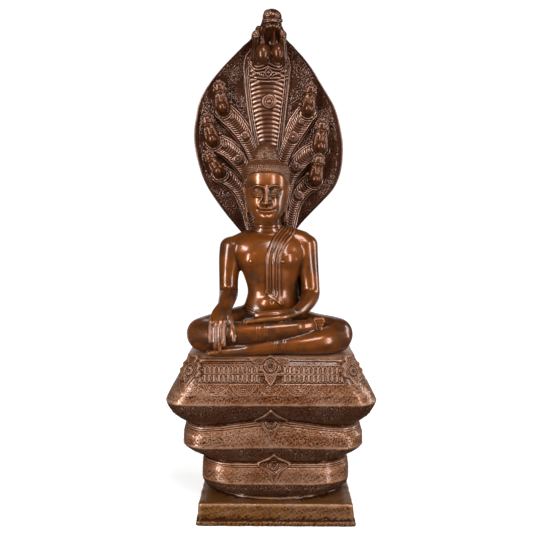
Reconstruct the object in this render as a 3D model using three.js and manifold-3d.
// A cast bronze seated figure on the three coils of a serpent, under its hood with seven heads.
// Millimetres, +Z up. The front faces -Y and +X is at the viewer's right.
// The origin is the middle of the plinth's underside.
import * as THREE from "three";
import { mergeVertices } from "three/addons/utils/BufferGeometryUtils.js";
import Module from "manifold-3d";

const wasm = await Module();
wasm.setup();

// The plinth is a plate that widens a little to a thin lip round its foot.
const PLINTH_TOP_WIDTH = 317;
const PLINTH_TOP_DEPTH = 225;
const PLINTH_BATTER = 4;
const PLINTH_THICKNESS = 46;
const PLINTH_CORNER = 5;
const PLINTH_LIP_HEIGHT = 10;
const PLINTH_LIP_PROUD = 2;

// The low coil stands on an oval foot.
const LOW_FOOT_WIDTH = 280;
const LOW_FOOT_DEPTH = 178;
const LOW_COIL_WIDTH = 304;
const LOW_COIL_DEPTH = 228;
const LOW_COIL_HEIGHT = 84;
const LOW_COIL_SHIFT = -1;

const MIDDLE_COIL_WIDTH = 371;
const MIDDLE_COIL_DEPTH = 236;
const MIDDLE_COIL_HEIGHT = 82;
const MIDDLE_COIL_ARCH = 10;
const MIDDLE_COIL_SHIFT = -6;

const TOP_COIL_WIDTH = 429;
const TOP_COIL_DEPTH = 284;
const TOP_COIL_HEIGHT = 140;
const TOP_COIL_SHIFT = -10;

// The waist between two coils, and the rim that the figure sits on.
const LOW_WAIST_WIDTH = 300;
const LOW_WAIST_DEPTH = 194;
const HIGH_WAIST_WIDTH = 358;
const HIGH_WAIST_DEPTH = 197;
const RIM_WIDTH = 344;
const RIM_DEPTH = 216;
const WAIST_GROOVE = 3;
const COIL_OVERHANG = 8;
const TOP_OVERHANG = 16;
const TOP_SWELL = 0.72;
const LOW_COIL_CORNER = [80, 46];
const HIGH_COIL_CORNER = [46, 46];

// Small petals stand in two rows under the rim.
const PETAL_PITCH = 20;
const PETAL_PROUD = 4;

// The figure and the hood keep their own proportions.
const FIGURE_HEIGHT = 436;
const HOOD_RISE = 262;
const SEAT_GAP = 0.3;
const BACK_GAP = 1;
const HEAD_CLEARANCE = 1;

// Facets with a shorter edge than this are drawn together.
const SHORTEST_EDGE = 2.4;

const seatZ = PLINTH_THICKNESS + LOW_COIL_HEIGHT + MIDDLE_COIL_HEIGHT + TOP_COIL_HEIGHT;

// ---------------------------------------------------------------- shapes

// A closed skin over a row of rings with the same number of points each.
// The points of a ring run anticlockwise as seen from the end of the row.
// Each end closes on its tip, or else on the middle of its ring.
function skin(rings, tips = []) {
  const count = rings[0].length;
  const position = rings.flat(2);
  const index = [];
  const middle = (ring) => [0, 1, 2].map((k) => ring.reduce((s, p) => s + p[k], 0) / count);
  const first = rings.length * count;
  const last = first + 1;
  position.push(...(tips[0] || middle(rings[0])));
  position.push(...(tips[1] || middle(rings[rings.length - 1])));
  for (let k = 0; k + 1 < rings.length; k++) {
    for (let i = 0; i < count; i++) {
      const a = k * count + i;
      const b = k * count + ((i + 1) % count);
      index.push(a, b, b + count, a, b + count, a + count);
    }
  }
  for (let i = 0; i < count; i++) {
    const j = (i + 1) % count;
    const top = (rings.length - 1) * count;
    index.push(first, j, i, last, top + i, top + j);
  }
  const geometry = new THREE.BufferGeometry();
  geometry.setAttribute("position", new THREE.Float32BufferAttribute(position, 3));
  geometry.setIndex(index);
  return geometry;
}

// A geometry as a solid that can be joined and cut.
function solidOf(geometry) {
  const bare = geometry.clone();
  bare.deleteAttribute("normal");
  bare.deleteAttribute("uv");
  const merged = mergeVertices(bare, 1e-4);
  return new wasm.Manifold(
    new wasm.Mesh({
      numProp: 3,
      vertProperties: merged.attributes.position.array,
      triVerts: new Uint32Array(merged.index.array),
    }),
  );
}

function joined(geometries) {
  return geometries.map(solidOf).reduce((whole, piece) => whole.add(piece));
}

// The outer skin alone: pockets of air that the joined pieces close in are filled.
function filled(solid) {
  return solid
    .decompose()
    .filter((body) => body.volume() > 0)
    .reduce((whole, body) => whole.add(body));
}

// Draws the ends of short edges together, wherever the skin stays closed and no face turns over.
function eased(solid, shortest) {
  const made = filled(solid).getMesh();
  const at = [];
  for (let i = 0; i < made.vertProperties.length; i += 3) {
    at.push(new THREE.Vector3(...made.vertProperties.slice(i, i + 3)));
  }
  const faces = [];
  const around = at.map(() => new Set());
  for (let i = 0; i < made.triVerts.length; i += 3) {
    const face = [...made.triVerts.slice(i, i + 3)];
    face.forEach((v) => around[v].add(faces.length));
    faces.push(face);
  }
  const normalOf = ([a, b, c]) => at[b].clone().sub(at[a]).cross(at[c].clone().sub(at[a]));
  const neighbours = (v) => new Set([...around[v]].flatMap((f) => faces[f]).filter((w) => w !== v));
  // Moves vertex b to vertex a, and says whether it could.
  const draw = (a, b) => {
    const near = neighbours(a);
    if ([...neighbours(b)].filter((v) => near.has(v)).length !== 2) return false;
    const moved = [...around[b]].filter((f) => !faces[f].includes(a));
    const turned = moved.some((f) => {
      const before = normalOf(faces[f]);
      const after = normalOf(faces[f].map((v) => (v === b ? a : v)));
      const small = before.length() < 0.02;
      return after.length() < 0.02 || (!small && after.angleTo(before) > 0.7);
    });
    if (turned) return false;
    [...around[b]].filter((f) => faces[f].includes(a)).forEach((f) => {
      faces[f].forEach((v) => around[v].delete(f));
      faces[f] = null;
    });
    moved.forEach((f) => {
      faces[f] = faces[f].map((v) => (v === b ? a : v));
      around[a].add(f);
    });
    around[b].clear();
    return true;
  };
  for (let pass = 1; pass <= 4; pass++) {
    for (let f = 0; f < faces.length; f++) {
      for (let k = 0; k < 3 && faces[f]; k++) {
        const [a, b] = [faces[f][k], faces[f][(k + 1) % 3]];
        if (at[a].distanceTo(at[b]) > (shortest * pass) / 4) continue;
        const [keep, go] = at[a].z < at[b].z ? [a, b] : [b, a];
        if (!draw(keep, go)) draw(go, keep);
      }
    }
  }
  const vertProperties = new Float32Array(at.flatMap((p) => p.toArray()));
  const triVerts = new Uint32Array(faces.filter(Boolean).flat());
  const geometry = new THREE.BufferGeometry();
  geometry.setAttribute("position", new THREE.BufferAttribute(vertProperties, 3));
  geometry.setIndex(new THREE.BufferAttribute(triVerts, 1));
  return solidOf(geometry);
}

function meshOf(solid, name, material) {
  const made = filled(solid).getMesh();
  const geometry = new THREE.BufferGeometry();
  geometry.setAttribute("position", new THREE.BufferAttribute(made.vertProperties, 3));
  geometry.setIndex(new THREE.BufferAttribute(made.triVerts, 1));
  geometry.computeVertexNormals();
  const mesh = new THREE.Mesh(geometry, material);
  mesh.name = name;
  return mesh;
}

// A smooth row of stations through the given ones, with steps between each two.
function smoothRow(stations, steps) {
  const row = [];
  const at = (i) => stations[Math.min(Math.max(i, 0), stations.length - 1)];
  for (let i = 0; i + 1 < stations.length; i++) {
    for (let s = 0; s < steps; s++) {
      const t = s / steps;
      row.push(
        at(i).map((value, k) => {
          const [a, b, c, d] = [at(i - 1)[k], value, at(i + 1)[k], at(i + 2)[k]];
          const slope = (c - a) * t + (2 * a - 5 * b + 4 * c - d) * t * t;
          return b + 0.5 * (slope + (3 * b - a - 3 * c + d) * t * t * t);
        }),
      );
    }
  }
  row.push([...at(stations.length - 1)]);
  return row;
}

// A limb along stations of x, y, z, half width and half thickness.
// The width lies across the path and across the hint, the thickness along the hint.
function limb(stations, options = {}) {
  const { sides = 7, steps = 1, hint = [0, 0, 1], ends = [0.9, 0.9], wave = 0 } = options;
  const row = smoothRow(stations, steps);
  const points = row.map((s) => new THREE.Vector3(s[0], s[1], s[2]));
  const up = new THREE.Vector3(...hint);
  const frames = points.map((p, i) => {
    const before = points[Math.max(i - 1, 0)];
    const after = points[Math.min(i + 1, points.length - 1)];
    const along = after.clone().sub(before).normalize();
    const across = up.clone().cross(along).normalize();
    return { p, along, across, lift: along.clone().cross(across), a: row[i][3], b: row[i][4] };
  });
  const ring = (f, shift, share) =>
    Array.from({ length: sides }, (_, i) => {
      const angle = ((i + 0.5) / sides) * Math.PI * 2;
      const p = f.p
        .clone()
        .addScaledVector(f.along, shift)
        .addScaledVector(f.across, Math.cos(angle) * f.a * share)
        .addScaledVector(f.lift, Math.sin(angle) * f.b * share);
      return [p.x, p.y, p.z];
    });
  const first = frames[0];
  const last = frames[frames.length - 1];
  const reach = (f, end) => Math.min(f.a, f.b) * end;
  const tip = (f, shift) => f.p.clone().addScaledVector(f.along, shift).toArray();
  const rings = [];
  if (ends[0] > 0.3) rings.push(ring(first, -reach(first, ends[0]) * 0.62, 0.74));
  frames.forEach((f, i) => rings.push(ring(f, 0, 1 + (i % 2 ? wave : -wave))));
  if (ends[1] > 0.3) rings.push(ring(last, reach(last, ends[1]) * 0.62, 0.74));
  return skin(rings, [tip(first, -reach(first, ends[0])), tip(last, reach(last, ends[1]))]);
}

// A stack of level ovals, each of height, middle x, middle y, half width and half depth.
function stack(levels, { sides = 12, steps = 1, square = 2.2 } = {}) {
  const bend = (v) => Math.sign(v) * Math.abs(v) ** (2 / square);
  return skin(
    smoothRow(levels, steps).map(([z, x, y, a, b]) =>
      Array.from({ length: sides }, (_, i) => {
        const angle = ((i + 0.5) / sides) * Math.PI * 2;
        return [x + a * bend(Math.cos(angle)), y + b * bend(Math.sin(angle)), z];
      }),
    ),
  );
}

function ball([x, y, z], [a, b, c], sides = 8, rows = 5) {
  return new THREE.SphereGeometry(1, sides, rows).scale(a, b, c).translate(x, y, z);
}

// ---------------------------------------------------------------- throne

const CORNER_STEPS = 3;
const FRONT_STEPS = 5;
const SIDE_STEPS = 2;

// A level outline with rounded corners. A corner as wide as the outline makes it an oval.
function outline(x, z, a, b, cornerX, cornerY, arch = 0) {
  const points = [];
  const corners = [
    [1, 1, 0],
    [-1, 1, 90],
    [-1, -1, 180],
    [1, -1, 270],
  ];
  corners.forEach(([sx, sy, start], c) => {
    for (let i = 0; i <= CORNER_STEPS; i++) {
      const angle = THREE.MathUtils.degToRad(start + (90 * i) / CORNER_STEPS);
      points.push([
        sx * (a - cornerX) + cornerX * Math.cos(angle),
        sy * (b - cornerY) + cornerY * Math.sin(angle),
      ]);
    }
    const [p, next] = [points[points.length - 1], corners[(c + 1) % 4]];
    const q = [
      next[0] * (a - cornerX) + cornerX * Math.cos(THREE.MathUtils.degToRad(next[2])),
      next[1] * (b - cornerY) + cornerY * Math.sin(THREE.MathUtils.degToRad(next[2])),
    ];
    const steps = c % 2 ? SIDE_STEPS : FRONT_STEPS;
    for (let i = 1; i < steps; i++) {
      points.push([0, 1].map((k) => p[k] + ((q[k] - p[k]) * i) / steps));
    }
  });
  return points.map(([px, py]) => [
    x + px,
    py,
    z + arch * Math.max(0, 1 - Math.abs(px / a) * 1.6) ** 2,
  ]);
}

// The rise of a coil from its foot to its waist: share of the height, then how far
// the outline has gone from the foot to the ridge, or from the ridge to the waist.
const COIL_UNDER = [
  [0, 0],
  [0.12, 0.5],
  [0.26, 0.83],
  [0.38, 1],
];
const COIL_UPPER = [
  [0.52, 0.18],
  [0.76, 0.74],
  [1, 1],
];

function coil(z, height, shift, foot, ridge, top, corner, arch, swell) {
  const rings = [];
  const [cornerX, cornerY] = corner;
  const between = (from, to, t) => from + (to - from) * t;
  COIL_UNDER.forEach(([h, t]) =>
    rings.push(
      outline(
        shift,
        z + height * h,
        between(foot[0], ridge[0], t) / 2,
        between(foot[1], ridge[1], t) / 2,
        between(foot[2], cornerX, t),
        between(foot[3], cornerY, t),
      ),
    ),
  );
  COIL_UPPER.map(([h, t]) => [h, t ** swell]).forEach(([h, t]) =>
    rings.push(
      outline(
        shift,
        z + height * h,
        between(ridge[0], top[0], t) / 2,
        between(ridge[1], top[1], t) / 2,
        cornerX,
        cornerY,
        arch * t,
      ),
    ),
  );
  return rings;
}

const lowZ = PLINTH_THICKNESS;
const middleZ = lowZ + LOW_COIL_HEIGHT;
const topZ = middleZ + MIDDLE_COIL_HEIGHT;

function throneSolid() {
  const plate = (z, proud) => {
    const out = proud + PLINTH_BATTER * (1 - z / PLINTH_THICKNESS);
    return outline(
      0,
      z,
      PLINTH_TOP_WIDTH / 2 + out,
      PLINTH_TOP_DEPTH / 2 + out,
      PLINTH_CORNER,
      PLINTH_CORNER,
    );
  };
  const groove = (x, z, width, depth, corner, arch) =>
    outline(x, z, width / 2 - WAIST_GROOVE, depth / 2 - WAIST_GROOVE, ...corner, arch);
  const rings = [
    plate(0, PLINTH_LIP_PROUD),
    plate(PLINTH_LIP_HEIGHT, PLINTH_LIP_PROUD),
    plate(PLINTH_LIP_HEIGHT + 1, 0),
    plate(PLINTH_THICKNESS, 0),
    ...coil(
      lowZ,
      LOW_COIL_HEIGHT,
      LOW_COIL_SHIFT,
      [LOW_FOOT_WIDTH, LOW_FOOT_DEPTH, LOW_FOOT_WIDTH / 2, LOW_FOOT_DEPTH / 2],
      [LOW_COIL_WIDTH, LOW_COIL_DEPTH],
      [LOW_WAIST_WIDTH, LOW_WAIST_DEPTH],
      LOW_COIL_CORNER,
      0,
      1.2,
    ),
    groove(LOW_COIL_SHIFT, middleZ + 0.5, LOW_WAIST_WIDTH, LOW_WAIST_DEPTH, LOW_COIL_CORNER, 0),
    ...coil(
      middleZ + 3,
      MIDDLE_COIL_HEIGHT - 3,
      MIDDLE_COIL_SHIFT,
      [LOW_WAIST_WIDTH + COIL_OVERHANG, LOW_WAIST_DEPTH + COIL_OVERHANG, ...LOW_COIL_CORNER],
      [MIDDLE_COIL_WIDTH, MIDDLE_COIL_DEPTH],
      [HIGH_WAIST_WIDTH, HIGH_WAIST_DEPTH],
      HIGH_COIL_CORNER,
      MIDDLE_COIL_ARCH,
      1.2,
    ),
    groove(
      MIDDLE_COIL_SHIFT,
      topZ + 0.5,
      HIGH_WAIST_WIDTH,
      HIGH_WAIST_DEPTH,
      HIGH_COIL_CORNER,
      MIDDLE_COIL_ARCH,
    ),
    ...coil(
      topZ + 3,
      TOP_COIL_HEIGHT - 3,
      TOP_COIL_SHIFT,
      [HIGH_WAIST_WIDTH + TOP_OVERHANG, HIGH_WAIST_DEPTH + TOP_OVERHANG, ...HIGH_COIL_CORNER],
      [TOP_COIL_WIDTH, TOP_COIL_DEPTH],
      [RIM_WIDTH, RIM_DEPTH],
      HIGH_COIL_CORNER,
      0,
      TOP_SWELL,
    ),
  ];
  return eased(joined([skin(rings), ...petals(), ...medallions()]), SHORTEST_EDGE);
}

// The half width and half depth of the top coil's upper face at a height share.
function topFace(h) {
  const rise = [[COIL_UNDER[3][0], 0], ...COIL_UPPER];
  const k = Math.max(1, rise.findIndex((r) => r[0] >= h));
  const [low, high] = [rise[k - 1], rise[k]];
  const [from, to] = [low[1] ** TOP_SWELL, high[1] ** TOP_SWELL];
  const t = from + ((to - from) * (h - low[0])) / (high[0] - low[0]);
  return [
    (TOP_COIL_WIDTH + (RIM_WIDTH - TOP_COIL_WIDTH) * t) / 2,
    (TOP_COIL_DEPTH + (RIM_DEPTH - TOP_COIL_DEPTH) * t) / 2,
  ];
}

// Three faced petals along the front, the back and both sides.
function petals() {
  const made = [];
  const petal = (x, y, z, turn) => {
    const one = new THREE.ConeGeometry(PETAL_PITCH * 0.5, PETAL_PROUD * 2.2, 3, 1);
    one.rotateX(Math.PI / 2).rotateZ(turn).translate(x, y, z);
    made.push(one);
  };
  [0.68, 0.78].forEach((h) => {
    const [a, b] = topFace(h);
    const z = topZ + TOP_COIL_HEIGHT * h;
    const across = Math.floor((2 * (a - 40)) / PETAL_PITCH);
    for (let i = 0; i < across; i++) {
      const x = TOP_COIL_SHIFT + (i - (across - 1) / 2) * PETAL_PITCH;
      if (Math.abs(x - TOP_COIL_SHIFT) > 22) petal(x, -b, z, 0);
    }
    const along = Math.floor((2 * (b - 40)) / PETAL_PITCH);
    for (let i = 0; i < along; i++) {
      const y = (i - (along - 1) / 2) * PETAL_PITCH;
      [-1, 1].forEach((s) => petal(TOP_COIL_SHIFT + s * a, y, z, s * Math.PI * 0.5));
    }
  });
  return made;
}

// A round boss in a pointed leaf with a pendant below it, one on the front of each coil.
function medallions() {
  const made = [];
  const boss = (x, y, z, size, lean) => {
    const flat = (shape) => shape.rotateX(lean).translate(x, y, z);
    made.push(flat(ball([0, 0, 0], [size, 5, size * 0.8], 8, 4)));
    made.push(flat(limb([[-size * 2, 1, 0, 2.5, 3], [0, 0, size, 4, 4], [size * 2, 1, 0, 2.5, 3]], { sides: 6 })));
    made.push(
      flat(limb([[0, 0, -size * 0.7, size * 0.6, 3.5], [0, 1, -size * 2.1, 1.5, 2]], { sides: 6, hint: [0, -1, 0] })),
    );
  };
  const [, high] = topFace(0.8);
  boss(TOP_COIL_SHIFT, -high, topZ + TOP_COIL_HEIGHT * 0.8, 14, -0.3);
  boss(MIDDLE_COIL_SHIFT, -HIGH_WAIST_DEPTH / 2 - 3, topZ - 4, 13, -0.3);
  boss(LOW_COIL_SHIFT, -LOW_WAIST_DEPTH / 2 - 4, middleZ - 11, 13, -0.25);
  // Corner ornaments under the rim.
  const [a, b] = topFace(0.84);
  [-1, 1].forEach((s) => {
    const x = TOP_COIL_SHIFT + s * (a - 20);
    const y = -b + 12;
    const z = topZ + TOP_COIL_HEIGHT;
    made.push(limb([[x, y, z - 5, 13, 6], [x + s * 5, y - 5, z - 28, 12, 6], [x + s * 16, y - 12, z - 56, 3, 3]], { sides: 8, hint: [0, -1, 0] }));
  });
  return made;
}

// ---------------------------------------------------------------- figure

// All figure stations are millimetres above the seat on a figure of this height.
const FIGURE_DRAWN = 436;
const figureScale = FIGURE_HEIGHT / FIGURE_DRAWN;
// How far back from the middle the flat of the back and the back of the hair reach.
const FIGURE_BACK = 41;
const HEAD_MIDDLE = [-21, -15, 350];
const HEAD_HALF = [52, 54, 66];

function torso() {
  return [
    stack([
      [20, -8, 4, 96, 34],
      [50, -9, 2, 86, 40],
      [78, -9, 0, 66, 40],
      [98, -9, -2, 57, 36],
      [121, -8.5, -1, 52.5, 34],
      [148, -10, -1, 58, 38],
      [173, -11.5, 0, 67, 40],
      [193, -12, 0, 76, 41],
      [213, -14, 2, 82, 38],
      [230, -15, 5, 79, 33],
      [243, -17, 8, 52, 26],
      [252, -18, 8, 29, 23],
    ]),
    stack([
      [236, -18, 9, 36, 28],
      [250, -18, 7, 31, 26],
      [264, -18, 4, 29, 25],
      [282, -18.5, 0, 29, 26],
      [300, -19, -6, 30, 28],
    ], { sides: 12 }),
    // Soft belly and breasts.
    ball([-9, -22, 98], [33, 22, 22], 8, 6),
    ball([-47, -14, 192], [30, 31, 28], 8, 6),
    ball([19, -14, 192], [30, 31, 28], 8, 6),
  ];
}

// Bronze closes the space between the left arm and the body, set back from both.
function web() {
  return limb([[56, 14, 190, 16, 7], [58, 12, 150, 20, 7], [56, 6, 104, 24, 7]], { sides: 6, hint: [0, -1, 0] });
}

function head() {
  const [x] = HEAD_MIDDLE;
  return [
    stack([
      [271, -19, -45, 15, 13],
      [278, -19, -36, 27, 24],
      [291, -19.5, -25, 36, 37],
      [312, -20, -21, 41, 42],
      [335, -20.5, -19, 43, 44],
      [368, x, -16, 43, 45],
    ], { sides: 11 }),
    // The cap of hair, then the rounded knot on the crown.
    stack([
      [322, x, 0, 45, 34],
      [345, x, -4, 48, 40],
      [361, x, -13, 51, 48],
      [372, x, -15, 50.5, 49],
      [384, x, -14, 45, 44],
      [393, -22, -13, 33, 33],
      [398, -22.5, -13, 27, 27],
      [410, -23, -12, 26, 26],
      [421, -22.5, -12, 22, 22],
      [430, -22, -12, 14, 14],
      [435.6, -22, -12, 4, 4],
    ], { sides: 11 }),
    limb([[x, -63, 346, 4, 4], [x, -69, 322, 6, 6], [x, -74, 311, 9, 6]], { sides: 5, hint: [0, -1, 0] }),
    limb([[x - 13, -58, 296, 2, 3], [x, -65, 294, 4, 4.5], [x + 13, -58, 296, 2, 3]], { sides: 4 }),
    ...[-1, 1].flatMap((s) => [
      limb([[x + s * 6, -62, 344, 2, 2], [x + s * 19, -60, 351, 2.5, 2.5], [x + s * 35, -44, 344, 1.5, 2]], { sides: 4 }),
      ball([x + s * 18, -53, 334], [12, 8, 5.5], 6, 4),
      // The long ear.
      limb(
        [
          [x + s * 46, -2, 350, 10, 4],
          [x + s * 46, -1, 330, 11, 5],
          [x + s * 42, 0, 300, 8, 4],
          [x + s * 40, 0, 272, 8, 5],
        ],
        { sides: 5, hint: [1, 0, 0] },
      ),
    ]),
    // The beaded band round the hair line.
    limb(
      [-1, -0.66, -0.33, 0, 0.33, 0.66, 1].map((t) => [
        x + 46 * Math.sin(t * 1.3),
        -14 - 46 * Math.cos(t * 1.3),
        371 - 30 * Math.abs(t) ** 3,
        3,
        3,
      ]),
      { sides: 4 },
    ),
    ball([x - 2, -37, 408], [9, 4, 9], 8, 4),
  ];
}

// Upper arm, lower arm and palm from shoulder to knuckles.
function arms() {
  const right = [
    limb([
      [-96, 5, 216, 28, 26],
      [-100, 4, 180, 24, 23],
      [-103, 2, 145, 21, 21],
      [-102, -2, 112, 21, 20],
    ], { hint: [0, -1, 0] }),
    limb([
      [-102, -4, 112, 21, 20],
      [-108, -34, 100, 19, 17],
      [-115, -66, 88, 14, 12],
    ]),
    limb([
      [-115, -62, 91, 12, 9],
      [-112, -88, 79, 20, 10],
      [-111, -101, 62, 23, 10],
    ], { sides: 8, hint: [0, -1, 0.6] }),
  ];
  const knuckles = [-129, -117, -105, -93];
  const tips = [[-133, 34], [-119, 22], [-107, 12], [-93, 26]];
  knuckles.forEach((x, i) => {
    const [tipX, tipZ] = tips[i];
    right.push(
      limb([
        [x, -103, 64, 6, 6],
        [(x + tipX) / 2, -117, 46, 5.5, 5.5],
        [tipX, -121, tipZ, 4.5, 4.5],
      ], { sides: 4, hint: [0, -1, 0], ends: [0.2, 0.9] }),
    );
  });
  right.push(
    limb([[-96, -88, 80, 8, 8], [-84, -102, 60, 6.5, 6.5], [-86, -116, 38, 5, 5]], { sides: 6, hint: [0, -1, 0] }),
  );
  const left = [
    limb([
      [66, 6, 218, 27, 26],
      [70, 5, 180, 23.5, 23],
      [74, 3, 145, 21, 21],
      [74.5, 0, 116, 20, 19],
    ], { hint: [0, -1, 0] }),
    limb([
      [74, -4, 108, 18, 18],
      [67, -34, 97, 17, 16],
      [52, -62, 85, 13, 11],
      [40, -76, 82, 12, 8],
    ]),
    limb([[42, -76, 82, 11, 7], [18, -88, 80, 19, 8], [-4, -94, 79, 19, 7]], { sides: 8 }),
  ];
  [-14, -5, 4, 13].forEach((y, i) => {
    left.push(
      limb([
        [-2, -93 - y, 80, 5, 5],
        [-34, -96 - y, 79 - i, 5, 5],
        [-62 + Math.abs(i - 1.5) * 5, -97 - y * 0.8, 77, 4, 4],
      ], { sides: 4, ends: [0.2, 0.9] }),
    );
  });
  left.push(limb([[30, -92, 86, 6, 6], [6, -98, 91, 5, 5], [-12, -96, 91, 4, 4]], { sides: 6 }));
  return [...right, ...left];
}

function legs() {
  const toes = (x, y, z, dx, dy, dz) =>
    [-1.5, -0.5, 0.5, 1.5].map((t) =>
      limb([
        [x + dx * t, y + dy * t, z + dz * t, 4.5, 4.5],
        [x + dx * t + Math.sign(x) * 13, y + dy * t * 0.9, z + dz * t * 0.9, 4, 4],
      ], { sides: 4, ends: [0.2, 0.9] }),
    );
  return [
    // The thigh and the upper shin of the leg that crosses on top.
    limb([
      [-50, 12, 50, 44, 40],
      [-95, -12, 44, 38, 38],
      [-138, -42, 37, 36, 36],
      [-154, -60, 35, 32, 33],
    ], { sides: 8 }),
    limb([
      [-152, -66, 35, 31, 32],
      [-118, -84, 42, 28, 28],
      [-75, -95, 47, 22, 23],
      [-28, -98, 51, 18, 19],
      [16, -97, 56, 15, 16],
      [48, -94, 60, 14, 13],
    ], { sides: 8 }),
    limb([[44, -92, 61, 14, 13], [66, -84, 64, 20, 9], [84, -78, 64, 19, 7]], { sides: 8 }),
    ...toes(84, -79, 64, 0, 9, 0),
    // The other thigh and the lower shin, with its foot at the viewer's left.
    limb([
      [34, 12, 46, 44, 38],
      [78, -14, 40, 38, 34],
      [114, -42, 37, 36, 35],
      [129, -58, 35, 33, 35],
    ], { sides: 8 }),
    limb([
      [128, -64, 31, 30, 31],
      [98, -84, 28, 28, 27],
      [55, -94, 24, 22, 21],
      [6, -97, 21, 16, 16],
      [-40, -99, 16, 14, 14],
      [-66, -100, 13, 13, 12],
    ], { sides: 8 }),
    limb([[-60, -100, 12, 13, 12], [-88, -102, 11, 18, 9], [-112, -102, 10, 18, 8]], { sides: 8 }),
    ...toes(-112, -103, 9, 0, 8.5, 0),
    // The lap between the legs.
    stack([
      [0, -12, -36, 104, 56],
      [30, -12, -34, 108, 58],
      [56, -10, -30, 84, 46],
      [70, -9, -20, 60, 30],
    ], { sides: 8 }),
  ];
}

// The hems, the belt, the sleeve edge and the folded shawl over the left shoulder.
function cloth() {
  const hem = (x, y, z, a, b, lean) =>
    limb([[x - 2.5, y, z + lean, a, b], [x + 2.5, y, z - lean, a, b]], { sides: 8, ends: [0.05, 0.05] });
  const folds = [-2, -1, 0, 1, 2].map((t) =>
    limb([
      [26 + t * 5.5, 9, 252 - Math.abs(t), 3, 4],
      [14 + t * 6, -21, 238, 3, 4],
      [0 + t * 6.5, -37, 214, 3, 4],
      [-6 + t * 7, -42, 190, 3, 4],
      [-5 + t * 8, -38, 118, 3, 4],
    ], { sides: 4, hint: [0, -1, 0.3], ends: [0.2, 0.2] }),
  );
  return [
    hem(-33, -98, 50.5, 20, 20.5, -0.3),
    hem(-24, -98, 51.5, 19.5, 20, -0.3),
    hem(0, -97, 20.5, 18, 18, 0.3),
    hem(10, -97, 21.5, 18.5, 18.5, 0.3),
    limb([[-103, 1, 119, 23, 22], [-102, -1, 114, 23, 22]], { sides: 7, ends: [0.05, 0.05], hint: [0, -1, 0] }),
    limb([
      [-66, -18, 94, 3, 3],
      [-50, -36, 84, 3, 3],
      [-20, -46, 78, 3, 3],
      [20, -46, 78, 3, 3],
      [46, -26, 86, 3, 3],
    ], { sides: 4 }),
    ...folds,
    limb([[-22, -42, 121, 3, 3], [4, -47, 112, 6, 4], [24, -43, 88, 3, 3]], { sides: 6, hint: [0, -1, 0] }),
  ];
}

// ---------------------------------------------------------------- hood

// All hood stations are millimetres above the seat on a hood of this height.
const HOOD_DRAWN = 698;
const hoodScale = (FIGURE_HEIGHT + HOOD_RISE) / HOOD_DRAWN;
const HOOD_THICKNESS = 15;
const HOOD_HOLLOW = 13;
const hoodBackY = FIGURE_BACK * figureScale + BACK_GAP;

// The leaf outline of the hood: height, middle x, half width.
const HOOD_OUTLINE = [
  [90, -9, 34],
  [190, -13, 42],
  [238, -16, 54],
  [262, -18, 71],
  [300, -16, 105],
  [340, -12, 136],
  [380, -12, 153.5],
  [436, -16, 161],
  [490, -20.5, 153],
  [540, -23.5, 133],
  [580, -23, 107],
  [616, -19, 74],
  [636, -18, 51],
  [652, -16, 34],
];

// How far the hood's front stands from the figure's back plane at a height.
function hoodLean(z) {
  return 14 - Math.max(0, z - 340) * 0.115 - Math.max(0, z - 560) * 0.1;
}

function hoodSheet() {
  const across = 4;
  return skin(
    HOOD_OUTLINE.map(([z, x, half]) => {
      const front = [];
      const back = [];
      for (let i = 0; i <= across; i++) {
        const t = -1 + (2 * i) / across;
        const y = hoodLean(z) - HOOD_HOLLOW * Math.abs(t) ** 2.5;
        const thick = HOOD_THICKNESS * (1.35 - 0.85 * t * t);
        front.push([x + half * t, y, z]);
        back.push([x + half * t * 0.985, y + thick, z]);
      }
      return [...front, ...back.reverse()];
    }),
  );
}

// A neck with ribs across its front, as wide as given at its root and its chin.
function neck(points, widths, ribs, depth, sides) {
  const steps = Math.round((2 * ribs) / (points.length - 1));
  const stations = points.map(([x, z], i) => {
    const w = widths[i];
    return [x, hoodLean(z) - 1, z, w, depth];
  });
  return limb(stations, { sides, steps, hint: [0, -1, 0], ends: [0.4, 0.4], wave: 0.06 });
}

// Side necks: root, bend and chin, each as x and height, then the middle of the head.
const SIDE_NECKS = [
  [[-34, 360], [-84, 452], [-112, 497], [-117, 527]],
  [[-52, 322], [-98, 400], [-134, 432], [-142, 460]],
  [[-62, 262], [-88, 324], [-118, 358], [-135, 386]],
  [[2, 360], [37, 444], [67, 487], [75, 519]],
  [[18, 322], [53, 382], [89, 411], [99, 443]],
  [[32, 262], [49, 320], [82, 346], [93, 373]],
];

function sideHeads() {
  const made = [];
  const cuts = [];
  SIDE_NECKS.forEach(([root, bend, chin, top]) => {
    const mouthY = hoodLean(top[1]) - 24;
    const side = Math.sign(top[0] + 15);
    made.push(neck([root, bend, chin], [14, 18, 20], 4, 9, 5));
    made.push(limb([
      [chin[0], mouthY + 14, chin[1] - 2, 16, 14],
      [top[0], mouthY + 11, top[1], 19, 16],
      [top[0] + side * 1, mouthY + 9, top[1] + 24, 15, 14],
    ], { sides: 6, hint: [0, -1, 0] }));
    made.push(ball([chin[0] + side * 1.5, mouthY + 1, chin[1] + 8], [12, 11, 11], 6, 4));
    made.push(ball([top[0] + side * 2, mouthY + 2, top[1] + 31], [15, 11, 10], 6, 4));
    made.push(ball([top[0] - side * 17, mouthY + 11, top[1] - 4], [7, 7, 7], 6, 3));
    cuts.push(ball([top[0] + side * 1, mouthY - 3, top[1] + 8], [9, 9, 16], 6, 4));
  });
  return [made, cuts];
}

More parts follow.
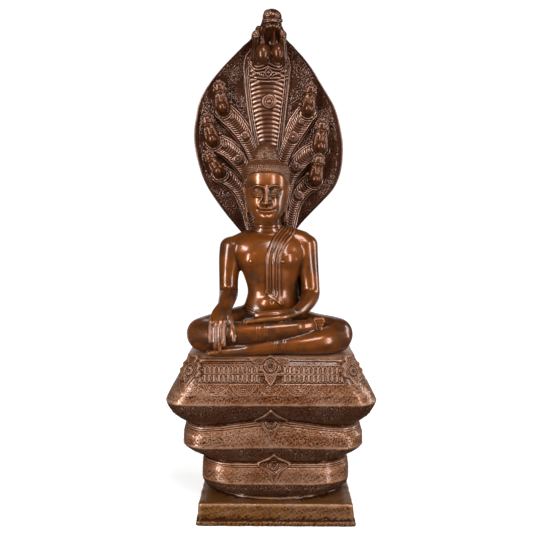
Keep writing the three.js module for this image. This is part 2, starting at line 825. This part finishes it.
function mainHead() {
  const made = [
    neck([[-15, 340], [-15, 420], [-15, 500], [-15, 556], [-14, 590]], [20, 25, 33, 40, 40], 12, 12, 7),
    // The back of the head and the snout that curves up over the open mouth.
    limb([
      [-13, -12, 575, 33, 22],
      [-13, -26, 612, 34, 26],
      [-11, -38, 645, 32, 28],
      [-8, -56, 670, 22, 28],
      [-7, -66, 683, 19, 18],
    ], { sides: 8, hint: [0, -1, 0] }),
    ...[-1, 1].map((s) => ball([-12 + s * 13.5, -66, 606], [14, 16, 22], 8, 6)),
    ...[-1, 1].map((s) => ball([-14 + s * 31, -40, 655], [10, 11, 12], 6, 4)),
    limb([[-27, -74, 664, 4, 4], [-8, -86, 662, 4, 4], [11, -74, 664, 4, 4]], { sides: 6 }),
    ball([-15, -17, 520], [13, 5, 13], 8, 4),
    limb([[-54, 0, 560, 3, 5], [-15, -26, 562, 4, 6], [24, 0, 560, 3, 5]], { sides: 6 }),
  ];
  const cuts = [ball([-9, -84, 645], [15, 22, 22], 8, 5)];
  return [made, cuts];
}

function hoodSolid() {
  const trunk = stack([
    [0, -8, 25, 46, 21],
    [60, -8, 23, 40, 17],
    [150, -10, 22, 40, 15],
    [250, -16, 22, 40, 10],
  ], { sides: 12 });
  const [small, smallCuts] = sideHeads();
  const [main, mainCuts] = mainHead();
  const cuts = joined([...smallCuts, ...mainCuts]);
  // The room that the figure's head takes, with its clearance.
  const room = ball([0, 0, 0], [1, 1, 1], 12, 8);
  const size = HEAD_HALF.map((half) => (half * figureScale + HEAD_CLEARANCE) / hoodScale);
  const place = [
    (HEAD_MIDDLE[0] * figureScale) / hoodScale,
    (HEAD_MIDDLE[1] * figureScale - hoodBackY) / hoodScale,
    (HEAD_MIDDLE[2] * figureScale) / hoodScale,
  ];
  room.scale(...size).translate(...place);
  const whole = joined([hoodSheet(), trunk, ...small, ...main]).subtract(cuts);
  return eased(whole, SHORTEST_EDGE).subtract(solidOf(room));
}

// ---------------------------------------------------------------- assembly

const throneBronze = new THREE.MeshStandardMaterial({ color: 0x5a3f35, roughness: 0.5, metalness: 0.6 });
const figureBronze = new THREE.MeshStandardMaterial({ color: 0x6b3a1c, roughness: 0.32, metalness: 0.7 });
const hoodBronze = new THREE.MeshStandardMaterial({ color: 0x5c3d35, roughness: 0.45, metalness: 0.6 });

const naga = new THREE.Group();
naga.add(meshOf(throneSolid(), "naga_throne", throneBronze));

// The figure is cut level where it sits.
const below = new THREE.BoxGeometry(900, 900, 200).translate(0, 0, -100);
const figureWhole = joined([...torso(), web(), ...head(), ...arms(), ...legs(), ...cloth()]);
const figureEased = eased(figureWhole, SHORTEST_EDGE);
const figure = meshOf(figureEased.subtract(solidOf(below)), "buddha_figure", figureBronze);
figure.position.z = seatZ + SEAT_GAP;
figure.scale.setScalar(figureScale);
naga.add(figure);

const hood = meshOf(hoodSolid(), "naga_hood", hoodBronze);
hood.position.set(0, hoodBackY, seatZ + SEAT_GAP);
hood.scale.setScalar(hoodScale);
naga.add(hood);

export default naga;
